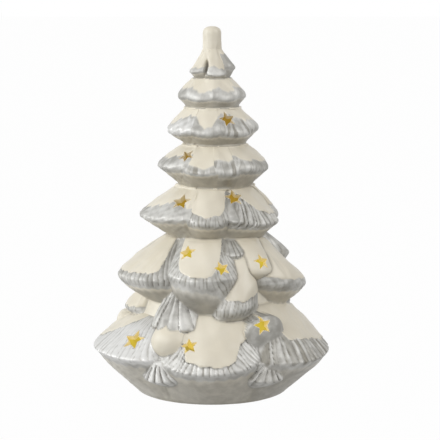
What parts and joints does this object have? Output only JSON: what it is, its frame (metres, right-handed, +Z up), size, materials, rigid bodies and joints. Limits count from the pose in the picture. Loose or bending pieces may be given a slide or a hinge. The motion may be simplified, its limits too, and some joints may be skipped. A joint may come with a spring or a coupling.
{
  "type": "ceramic christmas tree",
  "caption": "Hollow ceramic christmas tree with tiered snow-capped boughs and star windows, lit from inside by a push-in battery lamp unit with a hinged battery door and slide switch",
  "frame": {"origin": "on the table under the tip, at the middle of the footprint of the boughs", "axes": "+Z up through the tip, -Y the front with the pictured star windows, +X its right"},
  "size_m": [0.1639, 0.1554, 0.25],
  "materials": {
    "ceramic": "satin glaze",
    "felt": "felt",
    "lamp_plastic": "matte",
    "rubber": "matte",
    "diffuser": "frosted",
    "screw_steel": "zinc plated",
    "board": "solder mask",
    "led": "clear epoxy",
    "contact_metal": "nickel plated",
    "black_plastic": "matte",
    "battery_jacket": "printed film",
    "red_wire": "insulation",
    "black_wire": "insulation"
  },
  "bodies": {
    "tree": {"tree_shell": "ceramic", "felt_pads": "felt"},
    "lamp_unit": {"lamp_cup": "lamp_plastic", "rubber_gasket": "rubber", "lamp_cover": "lamp_plastic", "diffuser_dome": "diffuser", "cover_screws": "screw_steel", "led_board": "board", "board_screws": "screw_steel", "leds": "led", "led_leads": "contact_metal", "resistor": "black_plastic", "battery_rear": "battery_jacket", "battery_front": "battery_jacket", "plus_contact": "contact_metal", "minus_contact": "contact_metal", "bridge_contact": "contact_metal", "bridge_spring": "contact_metal", "minus_spring": "contact_metal", "switch_body": "black_plastic", "red_wire": "red_wire", "black_wire": "black_wire", "switch_wire": "red_wire"},
    "battery_door": {"battery_door": "lamp_plastic"},
    "switch_knob": {"switch_knob": "black_plastic"}
  },
  "joints": [
    {"name": "lamp_pull", "type": "slide", "parent": "tree", "child": "lamp_unit", "axis": [0, 0, -1], "range_m": [0, 0.06]},
    {"name": "door_hinge", "type": "hinge", "parent": "lamp_unit", "child": "battery_door", "pos_m": [0.0262, 0, 0.0039], "axis": [0, -1, 0], "range_deg": [0, 95]},
    {"name": "switch_slide", "type": "slide", "parent": "lamp_unit", "child": "switch_knob", "axis": [1, 0, 0], "range_m": [-0.003, 0]}
  ]
}
